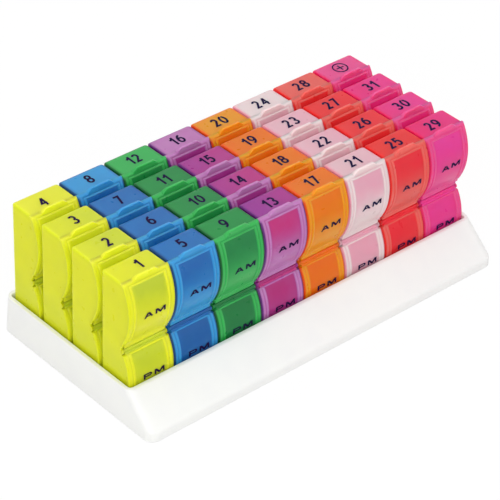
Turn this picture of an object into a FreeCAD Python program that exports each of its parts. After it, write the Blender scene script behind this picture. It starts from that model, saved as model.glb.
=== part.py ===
import FreeCAD, Part

import math
import os

from FreeCAD import Vector

# Monthly pill organizer: 32 two-compartment boxes standing in one shallow tray.
# Millimetres. X runs along the front, Y to the back, Z up.
# The origin is on the table, under the middle of the tray's footprint.

# Layout of the boxes
COLUMNS = 8
ROWS = 4
COLUMN_GAP = 0.8
ROW_GAP = 1.0

# Box
BOX_WIDTH = 25.2
BOX_DEPTH = 15.4
BOX_HEIGHT = 69.0
BOX_WALL = 1.2
FOOT_HEIGHT = 2.0
DIVIDER_THICKNESS = 1.2
DIVIDER_CLEARANCE = 2.2
BACK_EDGE_RADIUS = 2.0

# Lid. The morning lid is longer than the evening lid by the length difference.
LID_LENGTH_DIFFERENCE = 3.0
LID_BULGE = 5.0
LID_THICKNESS = 1.2
LID_SEAT_GAP = 0.1
LEAF_GAP = 0.1
LEAF_CORNER_GAP = 0.2

# Pivot of the lid
KNUCKLE_RADIUS = 1.2
KNUCKLE_SIDE_GAP = 0.15
PIN_RADIUS = 0.7
PIN_CLEARANCE = 0.05
PIN_REACH = 0.65
SOCKET_DEPTH = 0.8

# How far the morning lid opens, in degrees, and how clear of the evening lid it then stays
LID_TRAVEL = 110.0
OPEN_CLEARANCE = 0.2
SPACING_PASSES = 12

# Plug rib on the lid's inner side
PLUG_DEPTH = 1.8
PLUG_RIB = 0.9
PLUG_FIT = 0.15
PLUG_SETBACK = 0.7

# Thumb tab on the lid's free end
TAB_BASE = 14.5
TAB_TIP = 9.4
TAB_HEIGHT = 1.9
TAB_THICKNESS = 1.3
TAB_LEAN = 0.5

# Tray
TRAY_WALL = 2.2
TRAY_FLOOR = 2.3
TRAY_HEIGHT = 19.5
TRAY_SIDE_GAP = 1.0
TRAY_BACK_GAP = 1.0
TRAY_FRONT_GAP = 1.4
TRAY_DRAFT = 0.8
FRONT_SLOPE = 16.0
FRONT_TOE = 4.8
TRAY_CORNER_RADIUS = 5.0
POCKET_CORNER_RADIUS = 1.0
FRONT_RIBS = 3
FRONT_RIB_THICKNESS = 1.6


def morning_lid_length(spacing):
    """The morning lid's length at a given distance between a box's two pivots."""
    return (BOX_HEIGHT - FOOT_HEIGHT + LID_LENGTH_DIFFERENCE - spacing) / 2


def pivot_spacing():
    """The distance between a box's two pivots at which the open morning lid clears the evening lid.

    The morning lid's outer side is an arc of a circle. Turned to the end of its travel, that circle
    passes the evening lid's knuckle at the clearance. The lid's length and the spacing depend on
    each other, so the spacing is worked out again until it settles.
    """
    travel = math.radians(LID_TRAVEL)
    spacing = 2 * KNUCKLE_RADIUS
    for _ in range(SPACING_PASSES):
        half = morning_lid_length(spacing) / 2
        radius = (half ** 2 + LID_BULGE ** 2) / (2 * LID_BULGE)
        ahead = radius - LID_BULGE - KNUCKLE_RADIUS
        height = ahead * math.sin(travel) + half * math.cos(travel)
        reach = radius + KNUCKLE_RADIUS + OPEN_CLEARANCE
        spacing = math.sqrt(reach ** 2 + height ** 2 - ahead ** 2 - half ** 2) - height
    return spacing


# Derived sizes and places
COLUMN_PITCH = BOX_WIDTH + COLUMN_GAP
ROW_PITCH = BOX_DEPTH + LID_BULGE + ROW_GAP
INNER_WIDTH = BOX_WIDTH - 2 * BOX_WALL
DIVIDER_HEIGHT = (BOX_HEIGHT + FOOT_HEIGHT - LID_LENGTH_DIFFERENCE) / 2
LID_SEAT = LID_THICKNESS + LID_SEAT_GAP
LEAF_START = 2 * KNUCKLE_RADIUS + LEAF_GAP
PLUG_START = LEAF_START + PLUG_SETBACK
PIVOT_SPACING = pivot_spacing()
AM_HINGE_HEIGHT = DIVIDER_HEIGHT + PIVOT_SPACING / 2
PM_HINGE_HEIGHT = DIVIDER_HEIGHT - PIVOT_SPACING / 2
AM_LENGTH = BOX_HEIGHT - AM_HINGE_HEIGHT
PM_LENGTH = PM_HINGE_HEIGHT - FOOT_HEIGHT
KNUCKLE_WIDTH = INNER_WIDTH - 2 * KNUCKLE_SIDE_GAP
DIVIDER_FRONT = KNUCKLE_RADIUS + DIVIDER_CLEARANCE
DIVIDER_TOP = DIVIDER_HEIGHT + DIVIDER_THICKNESS / 2
DIVIDER_BOTTOM = DIVIDER_HEIGHT - DIVIDER_THICKNESS / 2

POCKET_WIDTH = COLUMNS * COLUMN_PITCH - COLUMN_GAP + 2 * TRAY_SIDE_GAP
POCKET_DEPTH = ROWS * ROW_PITCH - ROW_GAP + TRAY_FRONT_GAP + TRAY_BACK_GAP
TRAY_TOP_WIDTH = POCKET_WIDTH + 2 * TRAY_WALL
TRAY_BOTTOM_WIDTH = TRAY_TOP_WIDTH + 2 * TRAY_DRAFT
TRAY_TOP_DEPTH = POCKET_DEPTH + 2 * TRAY_WALL
TRAY_BOTTOM_DEPTH = TRAY_TOP_DEPTH + FRONT_SLOPE + TRAY_DRAFT

FRONT_BOTTOM_Y = -TRAY_BOTTOM_DEPTH / 2
FRONT_TOP_Y = FRONT_BOTTOM_Y + FRONT_SLOPE
SLOPE_RUN = FRONT_SLOPE / (TRAY_HEIGHT - FRONT_TOE)
BACK_TOP_Y = FRONT_TOP_Y + TRAY_TOP_DEPTH
POCKET_FRONT_Y = FRONT_TOP_Y + TRAY_WALL
FIRST_ROW_Y = POCKET_FRONT_Y + TRAY_FRONT_GAP + LID_BULGE

# How far a cutting form runs past the face that it cuts
OVERRUN = 5.0
SAME_POINT = 1e-6


# Helpers

def block(width, y_low, y_high, z_low, z_high):
    """A box of that width about X = 0, between the given limits."""
    return Part.makeBox(width, y_high - y_low, z_high - z_low, Vector(-width / 2, y_low, z_low))


def rod(radius, length, y, z):
    """A round rod along X, centred on X = 0."""
    return Part.makeCylinder(radius, length, Vector(-length / 2, y, z), Vector(1, 0, 0))


def profile(path, width):
    """A solid along X, centred on X = 0, from its outline seen from the side.

    The path runs round the outline. It holds corner points and arcs, each arc as its start,
    middle and end, and straight edges join them.
    """
    edges = []
    last = path[-1][2] if isinstance(path[-1], tuple) else path[-1]
    for item in path:
        is_arc = isinstance(item, tuple)
        start = item[0] if is_arc else item
        if last.distanceToPoint(start) > SAME_POINT:
            edges.append(Part.makeLine(last, start))
        if is_arc:
            edges.append(Part.Arc(*item).toShape())
        last = item[2] if is_arc else item
    face = Part.Face(Part.Wire(edges))
    face.translate(Vector(-width / 2, 0, 0))
    return face.extrude(Vector(width, 0, 0))


def edges_where(shape, test):
    """The straight edges of the shape whose two end points pass the test."""
    found = []
    for edge in shape.Edges:
        ends = [vertex.Point for vertex in edge.Vertexes]
        if len(ends) == 2 and test(*ends):
            found.append(edge)
    return found


def is_upright(start, end):
    """Whether an edge between two points rises, straight or leaning."""
    return abs(start.z - end.z) > SAME_POINT


def is_back_edge(start, end):
    """Whether it is an edge of a box's back that gets rounded: both upright ones and the top one."""
    at_back = min(start.y, end.y) > BOX_DEPTH - SAME_POINT
    at_top = min(start.z, end.z) > BOX_HEIGHT - SAME_POINT
    return at_back and (at_top or is_upright(start, end))


# Side view of the lids. A box's own origin is under the middle of the front plane of its waist.

class LidCurve:
    """The bulge of one lid: a circular arc from its pivot at the waist to its free end.

    Places along the lid are heights from its pivot, up for the morning lid and down for the
    evening lid.
    """

    def __init__(self, length, hinge_height, direction):
        self.length = length
        self.hinge_height = hinge_height
        self.direction = direction
        self.radius = ((length / 2) ** 2 + LID_BULGE ** 2) / (2 * LID_BULGE)
        self.centre_y = self.radius - LID_BULGE

    def at(self, y, along):
        """A point by its depth and its place along the lid."""
        return Vector(0, y, self.hinge_height + self.direction * along)

    def point(self, inset, along):
        """The point on the curve moved inwards by inset."""
        radius = self.radius - inset
        y = self.centre_y - math.sqrt(radius ** 2 - (along - self.length / 2) ** 2)
        return self.at(y, along)

    def arc(self, inset, start, end):
        """The stretch of the moved curve between two places, as three points."""
        middle = (start + end) / 2
        return self.point(inset, start), self.point(inset, middle), self.point(inset, end)

    def band(self, outer_inset, inner_inset, start, end, width):
        """A curved slab between two parallel curves."""
        outer = self.arc(outer_inset, start, end)
        inner = self.arc(inner_inset, end, start)
        return profile([outer, inner], width)


AM_CURVE = LidCurve(AM_LENGTH, AM_HINGE_HEIGHT, 1)
PM_CURVE = LidCurve(PM_LENGTH, PM_HINGE_HEIGHT, -1)


# Lid

def lid_leaf(curve):
    """The curved sheet."""
    return curve.band(0, LID_THICKNESS, LEAF_START, curve.length, BOX_WIDTH)


def lid_tongue(curve):
    """The lid's narrow root, which ends in the knuckle and turns between the box's sides."""
    knuckle = (
        curve.at(0, 0),
        curve.at(KNUCKLE_RADIUS, -KNUCKLE_RADIUS),
        curve.at(2 * KNUCKLE_RADIUS, 0),
    )
    path = [curve.arc(0, LEAF_START, 0), knuckle, curve.point(LID_THICKNESS, LEAF_START)]
    return profile(path, KNUCKLE_WIDTH)


def lid_tab(curve):
    """The thumb tab: a low trapezoid that stands on the free end and leans forward."""
    root = curve.length - LID_THICKNESS
    tip = curve.length + TAB_HEIGHT
    slab = profile([
        curve.point(LID_THICKNESS, root),
        curve.point(0, root),
        curve.at(-TAB_LEAN, curve.length),
        curve.at(-TAB_LEAN, tip),
        curve.at(TAB_THICKNESS - TAB_LEAN, tip),
        curve.point(LID_THICKNESS, curve.length),
    ], TAB_BASE)
    trapezoid = []
    for x, along in (
        (-TAB_BASE / 2, root), (TAB_BASE / 2, root), (TAB_BASE / 2, curve.length),
        (TAB_TIP / 2, tip), (-TAB_TIP / 2, tip), (-TAB_BASE / 2, curve.length),
    ):
        trapezoid.append(curve.at(-LID_BULGE, along) + Vector(x, 0, 0))
    outline = Part.Face(Part.makePolygon(trapezoid + trapezoid[:1]))
    return slab.common(outline.extrude(Vector(0, 2 * LID_BULGE, 0)))


def lid_plug(curve):
    """The rib inside the lid that drops into the compartment's mouth: two sides and an end."""
    width = INNER_WIDTH - 2 * PLUG_FIT
    end = curve.length - BOX_WALL - PLUG_FIT
    depth = LID_THICKNESS + PLUG_DEPTH
    whole = curve.band(LID_THICKNESS, depth, PLUG_START, end, width)
    middle = curve.band(
        LID_THICKNESS - PLUG_FIT, depth + PLUG_FIT, PLUG_START - PLUG_FIT, end - PLUG_RIB,
        width - 2 * PLUG_RIB,
    )
    return whole.cut(middle)


def lid_pins(curve):
    """The two pivot pins, as the ends of one rod through the knuckle."""
    return rod(PIN_RADIUS, INNER_WIDTH + 2 * PIN_REACH, KNUCKLE_RADIUS, curve.hinge_height)


def am_lid():
    """The morning lid, which opens in the tray."""
    parts = [lid_tongue(AM_CURVE), lid_tab(AM_CURVE), lid_plug(AM_CURVE), lid_pins(AM_CURVE)]
    return lid_leaf(AM_CURVE).fuse(parts).removeSplitter()


def pm_lid():
    """The evening lid, which stays shut in the tray."""
    return lid_leaf(PM_CURVE).fuse([lid_tongue(PM_CURVE), lid_tab(PM_CURVE)]).removeSplitter()


# Box

def box_shell(inset, arc_start):
    """A box's outer form. Its front follows the lids' curves, moved inwards by inset."""
    foot_front = PM_CURVE.point(LID_SEAT, PM_LENGTH).y
    shell = profile([
        Vector(0, BOX_DEPTH, 0),
        Vector(0, BOX_DEPTH, BOX_HEIGHT),
        AM_CURVE.arc(inset, AM_LENGTH, arc_start),
        AM_CURVE.at(0, arc_start),
        PM_CURVE.at(0, arc_start),
        PM_CURVE.arc(inset, arc_start, PM_LENGTH),
        Vector(0, foot_front, FOOT_HEIGHT),
        Vector(0, foot_front, 0),
    ], BOX_WIDTH)
    return shell.makeFillet(BACK_EDGE_RADIUS, edges_where(shell, is_back_edge))


def open_box():
    """One box without its lids. The morning lid's pins turn in sockets in its side walls."""
    ahead = -LID_BULGE - OVERRUN
    back = BOX_DEPTH - BOX_WALL
    sockets = rod(
        PIN_RADIUS + PIN_CLEARANCE, INNER_WIDTH + 2 * SOCKET_DEPTH, KNUCKLE_RADIUS, AM_HINGE_HEIGHT
    )
    return box_shell(LID_SEAT, LEAF_START - LEAF_CORNER_GAP).cut([
        block(INNER_WIDTH, ahead, back, DIVIDER_TOP, BOX_HEIGHT - BOX_WALL),
        block(INNER_WIDTH, ahead, back, FOOT_HEIGHT + BOX_WALL, DIVIDER_BOTTOM),
        block(INNER_WIDTH, ahead, back, -OVERRUN, FOOT_HEIGHT),
        block(INNER_WIDTH, ahead, DIVIDER_FRONT, DIVIDER_BOTTOM, DIVIDER_TOP),
        sockets,
    ]).removeSplitter()


def closed_hollow(curve, low, high):
    """The hollow behind a shut lid, between two places along the lid."""
    back = BOX_DEPTH - BOX_WALL
    return profile([
        curve.arc(LID_THICKNESS, LEAF_START, high),
        curve.at(back, high),
        curve.at(back, low),
        curve.at(DIVIDER_FRONT + BOX_WALL, low),
    ], INNER_WIDTH)


def closed_box():
    """One box and its two shut lids as a single piece, without the tab that the tray hides."""
    waist_low = PM_HINGE_HEIGHT + KNUCKLE_RADIUS
    waist_high = AM_HINGE_HEIGHT - KNUCKLE_RADIUS
    return box_shell(0, 0).fuse(lid_tab(AM_CURVE)).cut([
        closed_hollow(AM_CURVE, DIVIDER_TOP - AM_HINGE_HEIGHT, AM_LENGTH - BOX_WALL),
        closed_hollow(PM_CURVE, PM_HINGE_HEIGHT - DIVIDER_BOTTOM, PM_LENGTH - BOX_WALL),
        block(INNER_WIDTH, LID_THICKNESS, BOX_DEPTH - BOX_WALL, -OVERRUN, FOOT_HEIGHT),
        block(INNER_WIDTH, -OVERRUN, DIVIDER_FRONT, waist_low, waist_high),
    ]).removeSplitter()


# Tray

def level_rectangle(width, y_front, y_back, z):
    """The corners of a level rectangle."""
    half = width / 2
    return [
        Vector(-half, y_front, z),
        Vector(half, y_front, z),
        Vector(half, y_back, z),
        Vector(-half, y_back, z),
    ]


def frustum(bottom, top):
    """A solid with flat faces between two level outlines with as many corners."""
    rings = [bottom[::-1], top]
    for index in range(len(bottom)):
        following = (index + 1) % len(bottom)
        rings.append([bottom[index], bottom[following], top[following], top[index]])
    return Part.Solid(Part.Shell([Part.Face(Part.makePolygon(ring + ring[:1])) for ring in rings]))


def front_y(z):
    """Where the slope of the tray's front, or its run below the toe, stands at a height."""
    return FRONT_BOTTOM_Y + (z - FRONT_TOE) * SLOPE_RUN


def tray_block(bottom_front, top_front):
    """The tray's outer form up to a flat front, with near-upright sides and back."""
    form = frustum(
        level_rectangle(TRAY_BOTTOM_WIDTH, bottom_front, BACK_TOP_Y + TRAY_DRAFT, 0),
        level_rectangle(TRAY_TOP_WIDTH, top_front, BACK_TOP_Y, TRAY_HEIGHT),
    )
    return form.makeFillet(TRAY_CORNER_RADIUS, edges_where(form, is_upright))


def tray_outside():
    """The tray's outer form: its front is an upright toe and, above it, a slope to the back."""
    sloped = tray_block(front_y(0), front_y(TRAY_HEIGHT))
    return sloped.common(tray_block(FRONT_BOTTOM_Y, FRONT_BOTTOM_Y))


def tray_pocket():
    """The hollow that the boxes stand in."""
    back = POCKET_FRONT_Y + POCKET_DEPTH
    pocket = block(POCKET_WIDTH, POCKET_FRONT_Y, back, TRAY_FLOOR, TRAY_HEIGHT + OVERRUN)
    return pocket.makeFillet(POCKET_CORNER_RADIUS, edges_where(pocket, is_upright))


def front_hollow():
    """The hollow under the sloping front, open to the table, in cells between the ribs."""
    slope_wall = TRAY_WALL * math.hypot(SLOPE_RUN, 1)
    front = FRONT_BOTTOM_Y + TRAY_WALL
    back = POCKET_FRONT_Y - TRAY_WALL
    toe = FRONT_TOE - (slope_wall - TRAY_WALL) / SLOPE_RUN
    rise = FRONT_TOE + (back - FRONT_BOTTOM_Y - slope_wall) / SLOPE_RUN
    width = TRAY_TOP_WIDTH - 2 * TRAY_WALL
    hollow = profile([
        Vector(0, back, 0),
        Vector(0, front, 0),
        Vector(0, front, toe),
        Vector(0, back, rise),
    ], width)
    ribs = []
    for index in range(FRONT_RIBS):
        middle = width * (index + 1) / (FRONT_RIBS + 1) - width / 2
        rib = block(FRONT_RIB_THICKNESS, FRONT_BOTTOM_Y, back, 0, rise)
        rib.translate(Vector(middle, 0, 0))
        ribs.append(rib)
    return hollow.cut(ribs)


def tray():
    """The tray."""
    return tray_outside().cut([tray_pocket(), front_hollow()]).removeSplitter()


# Assembly

def box_origin(column, row):
    """Where a box's own origin stands in the tray."""
    x = (column - (COLUMNS - 1) / 2) * COLUMN_PITCH
    return Vector(x, FIRST_ROW_Y + row * ROW_PITCH, TRAY_FLOOR)


def save(name, piece, offset):
    """Write one node from its piece, moved to its place, and report its solids."""
    placed = piece.copy()
    placed.translate(offset)
    placed.exportStep(os.path.join("parts", name + ".step"))
    print(name, "solids", len(placed.Solids), "volume", round(placed.Volume, 1))


def main():
    """Build every piece and write the parts.

    Only the boxes of the first row open in the tray, so their lids are pieces of their own.
    """
    os.makedirs("parts", exist_ok=True)
    save("tray", tray(), Vector(0, 0, 0))
    first_row = {"body": open_box(), "am_lid": am_lid(), "pm_lid": pm_lid()}
    other_rows = closed_box()
    for column in range(COLUMNS):
        for row in range(ROWS):
            name = "box_%02d" % (column * ROWS + row + 1)
            place = box_origin(column, row)
            if row > 0:
                save(name, other_rows, place)
                continue
            for piece_name, piece in first_row.items():
                save(name + "_" + piece_name, piece, place)


if __name__ == "__main__":
    main()
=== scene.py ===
import logging
import math
from contextlib import contextmanager
from dataclasses import dataclass
from enum import Enum
from typing import Callable, Iterator, Sequence

import bmesh
import bpy
import numpy as np
from mathutils import Matrix, Vector
from mathutils.geometry import tessellate_polygon


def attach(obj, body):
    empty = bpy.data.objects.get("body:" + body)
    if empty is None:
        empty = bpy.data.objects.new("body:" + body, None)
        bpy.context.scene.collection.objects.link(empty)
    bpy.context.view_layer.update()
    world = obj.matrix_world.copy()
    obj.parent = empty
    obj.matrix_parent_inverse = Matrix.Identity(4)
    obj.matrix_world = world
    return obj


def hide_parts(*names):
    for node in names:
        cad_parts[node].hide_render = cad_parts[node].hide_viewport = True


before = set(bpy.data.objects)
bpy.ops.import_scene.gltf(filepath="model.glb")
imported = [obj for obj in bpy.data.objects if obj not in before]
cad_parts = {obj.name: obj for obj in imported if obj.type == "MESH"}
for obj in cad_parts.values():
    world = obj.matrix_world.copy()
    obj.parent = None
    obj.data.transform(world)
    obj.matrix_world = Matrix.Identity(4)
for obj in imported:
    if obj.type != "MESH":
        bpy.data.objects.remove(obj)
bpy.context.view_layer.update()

# Monthly pill organizer. Sizes are in millimetres, and each mesh becomes metres when it is placed.
MM = 0.001
SHARP_ANGLE = math.radians(38.0)
# How wide a lid's rim is up to its window: at the sides, at the free end and at the root.
RIM_SIDE, RIM_END, RIM_ROOT = 4.0, 2.1, 1.6
WAIST = 34.0  # height of the waist in a box, between its two pivots
PIVOT_DEPTH = 1.2  # how far the pivots lie behind the waist's front
LOG = logging.getLogger("pill_organizer")

Socket = bpy.types.NodeSocket
NodeTree = bpy.types.NodeTree
Material = bpy.types.Material
Mesh = bpy.types.Mesh
Piece = bpy.types.Object
Array = np.ndarray
Shader = Callable[[Array, Array, Array], Array]
Colour = tuple[float, float, float, float]
Point = tuple[float, float]
Spot = tuple[float, float, float]
Line = Sequence[Point]


# Nodes

class Wiring:
    """Adds nodes to one node tree and links them. A value is a socket or a plain setting."""

    def __init__(self, tree: NodeTree) -> None:
        """Start on a material's or a Geometry Nodes tree."""
        self.tree = tree

    def node(self, kind: str, inputs: Sequence | dict = (), **settings: object) -> bpy.types.Node:
        """Add a node.

        Args:
            kind: Blender's name of the node type.
            inputs: The values of its inputs, in order or by name.
            settings: Properties to set on it.

        Returns:
            The new node.
        """
        made = self.tree.nodes.new(kind)
        for name, value in settings.items():
            setattr(made, name, value)
        self.feed(made, inputs)
        return made

    def feed(self, node: bpy.types.Node, inputs: Sequence | dict) -> None:
        """Link a node's inputs to sockets, or set them to plain values.

        Args:
            node: The node.
            inputs: The values, in the inputs' order or by their names.
        """
        for name, value in inputs.items() if isinstance(inputs, dict) else enumerate(inputs):
            if isinstance(value, Socket):
                self.tree.links.new(value, node.inputs[name])
            else:
                node.inputs[name].default_value = value

    def math(self, operation: str, *values: object, clamp: bool = False) -> Socket:
        """Return the result of an operation on one to three values, kept in 0 to 1 if asked."""
        return self.node("ShaderNodeMath", values, operation=operation, use_clamp=clamp).outputs[0]

    def curve(self, value: Socket, points: Line) -> Socket:
        """Map a value from 0 to 1 through straight stretches between points.

        Args:
            value: The place along the curve.
            points: The curve's points, each from 0 to 1, the first at 0 and the last at 1.

        Returns:
            The height of the curve there.
        """
        made = self.node("ShaderNodeFloatCurve", {"Value": value})
        line = made.mapping.curves[0]
        line.points[0].location, line.points[1].location = points[0], points[-1]
        for point in points[1:-1]:
            line.points.new(*point)
        for point in line.points:
            point.handle_type = "VECTOR"
        made.mapping.update()
        return made.outputs[0]

    def spread(self, value: Socket, *limits: float) -> Socket:
        """Rise smoothly from one value to another, between two limits of the driving value."""
        return self.node("ShaderNodeMapRange", (value, *limits),
                         interpolation_type="SMOOTHSTEP").outputs[0]

    def blend(self, factor: Socket, first: object, second: object) -> Socket:
        """Return the mix of two colours."""
        return self.node("ShaderNodeMix", {"Factor": factor, "A": first, "B": second},
                         data_type="RGBA").outputs["Result"]

    def vector(self, *parts: object) -> Socket:
        """Return three values as one vector."""
        return self.node("ShaderNodeCombineXYZ", parts).outputs[0]


def shade(*levels: int) -> Colour:
    """Turn a colour as a screen shows it, 0 to 255, into Blender's linear values."""
    parts = [level / 255.0 for level in levels]
    return *(part / 12.92 if part <= 0.04045 else ((part + 0.055) / 1.055) ** 2.4
             for part in parts), 1.0


# Finishes

class Tone(Enum):
    """The tones that a translucent piece's mesh carries, by the names of their attributes."""

    DEEP = "deep_tone"
    # painted shade in the seams and in the waist's recess
    DARK = "dark_tone"
    PALE = "pale_tone"


@dataclass(frozen=True, kw_only=True)
class Finish:
    """A plastic with procedural colour, roughness and bump."""

    name: str
    main: Colour
    roughness: float = 0.32
    grain: float = 900.0  # the surface's fine grain, as noise cells in a metre
    bump: float = 0.000012  # its height in metres

    # Noise cells in a metre and finer layers: of the soft patches, the gloss and the grain.
    PATCHES, GLOSS, GRAIN_LAYERS = (85.0, 3.0), (240.0, 2.0), 4.0
    # Where the gloss noise starts and stops to count, and how it moves the roughness.
    GLOSS_LIMITS, SMOOTHER, ROUGHER = (0.25, 0.75), -0.05, 0.06

    def paint(self, wires: Wiring, patches: Socket) -> Socket:
        """Return the base colour. The patches are a soft noise from 0 to 1."""
        raise NotImplementedError

    def settings(self) -> dict[str, object]:
        """Return the values of the shader's other inputs."""
        raise NotImplementedError

    def material(self) -> Material:
        """Build the material.

        Returns:
            The material, with its nodes.
        """
        made = bpy.data.materials.new(self.name)
        made.use_nodes = True
        made.diffuse_color = self.main
        wires = Wiring(made.node_tree)
        place = wires.node("ShaderNodeTexCoord").outputs["Object"]
        patches, gloss, grain = (
            wires.node("ShaderNodeTexNoise", {"Vector": place, "Scale": scale, "Detail": detail}
                       ).outputs["Fac"]
            for scale, detail in (self.PATCHES, self.GLOSS, (self.grain, self.GRAIN_LAYERS)))
        relief = wires.node("ShaderNodeBump", {"Distance": self.bump, "Height": grain})
        wires.feed(made.node_tree.nodes["Principled BSDF"], {
            "Base Color": self.paint(wires, patches),
            "Roughness": wires.spread(gloss, *self.GLOSS_LIMITS, self.roughness + self.SMOOTHER,
                                      self.roughness + self.ROUGHER),
            "Normal": relief.outputs["Normal"], **self.settings()})
        return made


@dataclass(frozen=True, kw_only=True)
class Tint(Finish):
    """Translucent moulded plastic in one colour. Its main colour is that of a plain wall."""

    deep: Colour  # the painted shade where the eye looks into the compartment, and the deeper lower half
    dark: Colour  # painted shade in the seams between the pieces and in the waist
    pale: Colour  # the milky rims, beads and tabs, and the painted light on the rear tops
    glow: float = 1.0  # how much of the light the walls scatter inside
    reach: float = 0.004  # how far it travels there, in metres
    gloss: float = 0.25  # its specular level

    DRIFT = (0.3, 0.7, -0.05, 0.05)  # how the soft patches move the tones

    def paint(self, wires: Wiring, patches: Socket) -> Socket:
        """Mix the four colours by the tones that the piece's mesh carries.

        Args:
            wires: The material's wiring.
            patches: A soft noise, by which the tones drift a little.

        Returns:
            The base colour.
        """
        deep, dark, pale = (
            wires.node("ShaderNodeAttribute", attribute_name=name.value).outputs["Fac"]
            for name in Tone)
        drift = wires.spread(patches, *self.DRIFT)
        colour = wires.blend(wires.math("ADD", deep, drift, clamp=True), self.main, self.deep)
        milk = wires.math("SUBTRACT", pale, drift, clamp=True)
        # The seams' painted shade goes over the other tones.
        return wires.blend(dark, wires.blend(milk, colour, self.pale), self.dark)

    def settings(self) -> dict[str, object]:
        """Let light scatter inside the walls."""
        return {"Subsurface Weight": self.glow, "Subsurface Scale": self.reach,
                "Subsurface Radius": [0.25 + 0.75 * level for level in self.main[:3]],
                "Specular IOR Level": self.gloss}


@dataclass(frozen=True, kw_only=True)
class Opaque(Finish):
    """Opaque plastic or ink, with faint cloudiness."""

    cloud: Colour  # the cloudy patches
    gloss: float = 0.4  # its specular level

    CLOUDS = (0.35, 0.7, 0.0, 1.0)  # how the soft patches mix them in

    def paint(self, wires: Wiring, patches: Socket) -> Socket:
        """Mix the cloudy patches in."""
        return wires.blend(wires.spread(patches, *self.CLOUDS), self.main, self.cloud)

    def settings(self) -> dict[str, object]:
        """Set how much the surface reflects."""
        return {"Specular IOR Level": self.gloss}


TINTS = tuple(
    Tint(name=name, main=shade(*main), deep=shade(*deep), dark=shade(*dark), pale=shade(*pale))
    for name, main, deep, dark, pale in (
        ("yellow", (232, 240, 22), (192, 208, 52), (218, 228, 28), (240, 248, 50)),
        ("blue", (30, 114, 182), (36, 104, 172), (10, 46, 106), (62, 156, 212)),
        ("green", (26, 144, 68), (31, 128, 69), (6, 78, 34), (60, 178, 90)),
        ("purple", (152, 52, 148), (190, 52, 124), (82, 18, 108), (190, 130, 184)),
        ("orange", (240, 114, 14), (250, 118, 18), (244, 62, 14), (240, 152, 28)),
        ("pale_pink", (230, 182, 190), (236, 164, 182), (220, 134, 152), (240, 212, 212)),
        ("red", (242, 46, 42), (252, 40, 58), (242, 26, 22), (240, 104, 96)),
        ("magenta", (240, 22, 112), (250, 62, 152), (230, 20, 88), (240, 84, 146)),
    ))
TRAY_WHITE = Opaque(name="tray_white", roughness=0.38, grain=1500.0,
                    main=shade(240, 240, 238), cloud=shade(238, 238, 237))
INK = Opaque(name="print_ink", gloss=0.1, roughness=0.7, grain=2500.0, bump=0.000005,
             main=shade(26, 8, 54), cloud=shade(34, 14, 62))


# Meshes

def add_piece(name: str, mesh: bpy.types.ID) -> Piece:
    """Put a piece into the scene as an object at the origin.

    Args:
        name: The object's name.
        mesh: Its mesh, camera or lamp.

    Returns:
        The object.
    """
    made = bpy.data.objects.new(name, mesh)
    bpy.context.scene.collection.objects.link(made)
    return made


@contextmanager
def bench(mesh: Mesh) -> Iterator[bmesh.types.BMesh]:
    """Open a mesh for bmesh calls, and write the result back to it.

    Args:
        mesh: The mesh.

    Yields:
        The bmesh to work on.
    """
    work = bmesh.new()
    work.from_mesh(mesh)
    yield work
    work.to_mesh(mesh)
    work.free()


def tidy(mesh: Mesh, merge: float = 1e-5) -> Mesh:
    """Merge a mesh's doubles and point its faces outwards.

    Args:
        mesh: The mesh.
        merge: Up to which distance two points are one.

    Returns:
        The same mesh.
    """
    with bench(mesh) as work:
        bmesh.ops.remove_doubles(work, verts=work.verts, dist=merge)
        bmesh.ops.recalc_face_normals(work, faces=work.faces)
    return mesh


def solid(points: Sequence[Spot], faces: Sequence[Sequence[int]]) -> Mesh:
    """Make a mesh with its faces pointing outwards.

    Args:
        points: The vertices.
        faces: Each face as numbers of vertices.

    Returns:
        The mesh.
    """
    made = bpy.data.meshes.new("form")
    made.from_pydata(points, [], faces)
    return tidy(made)


def loft(outlines: Sequence[Sequence[Spot]], is_ring: bool = False) -> Mesh:
    """Join outlines of equally many points into one solid.

    Args:
        outlines: The outlines, with their points in order.
        is_ring: Whether the last one joins the first. If not, a face closes each end.

    Returns:
        The mesh.
    """
    count, points = len(outlines[0]), [point for outline in outlines for point in outline]
    total, faces = len(points), []
    if not is_ring:
        faces = [tuple(range(count)), tuple(range(total - 1, total - count - 1, -1))]
    for first in range(0, total if is_ring else total - count, count):
        for step in range(count):
            here, following = first + step, first + (step + 1) % count
            faces.append((here, following, (following + count) % total, (here + count) % total))
    return solid(points, faces)


def prism(outline: Line, width: float) -> Mesh:
    """Make a solid along X about X = 0 from its side view, as (y, z) points in order."""
    return loft([[(x, y, z) for y, z in outline] for x in (-width / 2, width / 2)])


def plate(loops: Sequence[Line], low: float, high: float) -> Mesh:
    """Make a flat plate on the XY plane.

    Args:
        loops: Its outline, then the outlines of its holes, as (x, y) points in order.
        low: Height of its lower face.
        high: Height of its upper face.

    Returns:
        The mesh.
    """
    count, first = sum(len(loop) for loop in loops), 0
    top = tessellate_polygon([[Vector((x, y, 0.0)) for x, y in loop] for loop in loops])
    faces = [*top, *(tuple(count + corner for corner in reversed(face)) for face in top)]
    for loop in loops:
        for index in range(len(loop)):
            here, following = first + index, first + (index + 1) % len(loop)
            faces.append((here, following, count + following, count + here))
        first += len(loop)
    return solid([(x, y, z) for z in (high, low) for loop in loops for x, y in loop], faces)


def block(width: float, y: Point, z: Point, rounding: float = 0.0) -> Mesh:
    """Make a box about X = 0.

    Args:
        width: Its length along X.
        y: Its front and back.
        z: Its lower and upper face.
        rounding: Radius of its edges.

    Returns:
        The mesh.
    """
    made = prism([(y[0], z[0]), (y[1], z[0]), (y[1], z[1]), (y[0], z[1])], width)
    if rounding:
        with bench(made) as work:
            bmesh.ops.bevel(work, geom=list(work.edges), offset=rounding, segments=3,
                            profile=0.5, affect="EDGES")
    return made


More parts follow.
